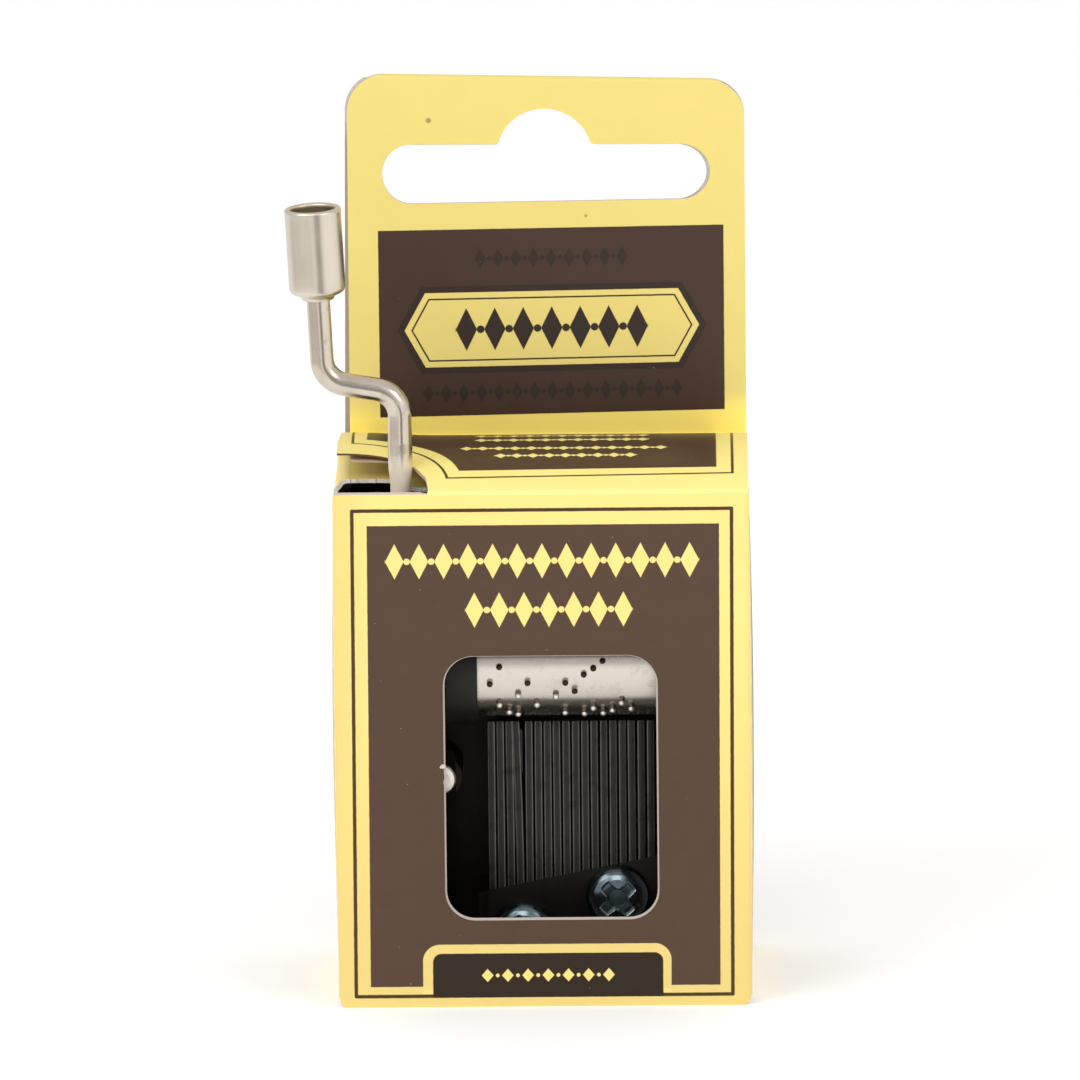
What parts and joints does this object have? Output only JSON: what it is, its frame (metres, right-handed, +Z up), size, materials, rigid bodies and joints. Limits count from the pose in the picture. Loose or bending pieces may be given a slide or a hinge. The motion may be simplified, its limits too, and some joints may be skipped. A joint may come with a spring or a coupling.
{
  "type": "hand-cranked music box",
  "caption": "Hand-cranked music box movement with pinned cylinder, steel comb and worm drive, packed in a folded-card hang-tab carton with a front window.",
  "frame": {"origin": "on the base plane, at the middle of the carton's footprint", "axes": "+Z up out of the carton towards the hang tab, -Y out of the front panel with the window, +X to the viewer's right"},
  "size_m": [0.0487, 0.0254, 0.096],
  "materials": {
    "printed_card": "offset-printed yellow and brown, lightly coated",
    "raw_card": "uncoated grey-white inside",
    "nickel": "nickel plate, slightly worn",
    "comb_steel": "hardened, dark, lengthwise grinding marks",
    "cylinder_metal": "satin",
    "zinc": "die-cast, dull",
    "blued_steel": "blue-black, glossy",
    "plain_steel": "drawn",
    "brass": "turned",
    "dark_plastic": "moulded",
    "lead": "dull"
  },
  "bodies": {
    "carton": {"front_panel": "printed_card", "left_side_panel": "printed_card", "right_side_panel": "printed_card", "back_panel": "printed_card", "top_panel": "printed_card", "hang_tab_front": "printed_card", "top_dust_flap_left": "printed_card", "top_dust_flap_right": "printed_card", "glue_flap": "raw_card", "bottom_dust_flap_left": "printed_card", "bottom_dust_flap_right": "printed_card", "bedplate": "zinc", "comb": "comb_steel", "tuning_weights": "lead", "comb_screws": "blued_steel", "cylinder_bearing_left": "plain_steel", "cylinder_bearing_right": "plain_steel", "bearing_rivets": "plain_steel", "crank_bracket_upper": "blued_steel", "crank_bracket_lower": "blued_steel", "crank_bracket_rivets": "cylinder_metal", "crank_bush_upper": "brass", "crank_bush_lower": "brass"},
    "crank": {"crank_rod": "nickel", "worm": "brass", "thrust_collar": "brass", "retaining_clip": "plain_steel"},
    "knob": {"knob": "nickel", "knob_washer": "plain_steel"},
    "cylinder": {"cylinder_tube": "cylinder_metal", "cylinder_pins": "cylinder_metal", "cylinder_arbor": "plain_steel", "cylinder_end_cap": "brass", "worm_wheel": "dark_plastic"},
    "bottom_flap": {"bottom_panel": "printed_card"},
    "tuck_flap": {"bottom_tuck_flap": "printed_card"}
  },
  "joints": [
    {"name": "crank_turn", "type": "hinge", "parent": "carton", "child": "crank", "pos_m": [-0.01485, -0.0075, 0.0458], "axis": [0, 0, 1], "continuous": true},
    {"name": "knob_spin", "type": "hinge", "parent": "crank", "child": "knob", "pos_m": [-0.0229, -0.0075, 0.0672], "axis": [-0.0471, 0, 0.9989], "continuous": true},
    {"name": "cylinder_turn", "type": "hinge", "parent": "carton", "child": "cylinder", "pos_m": [0.003, -0.0013, 0.0353], "axis": [1, 0, 0], "continuous": true},
    {"name": "bottom_flap_open", "type": "hinge", "parent": "carton", "child": "bottom_flap", "pos_m": [0, 0.01245, 0.00022], "axis": [1, 0, 0], "range_deg": [0, 70]},
    {"name": "tuck_flap_fold", "type": "hinge", "parent": "bottom_flap", "child": "tuck_flap", "pos_m": [0, -0.01172, 0.00045], "axis": [1, 0, 0], "range_deg": [-70, 0]}
  ],
  "couplings": [
    {"joint": "cylinder_turn", "follows": "crank_turn", "ratio": 0.0625},
    {"joint": "tuck_flap_fold", "follows": "bottom_flap_open", "ratio": -1}
  ]
}
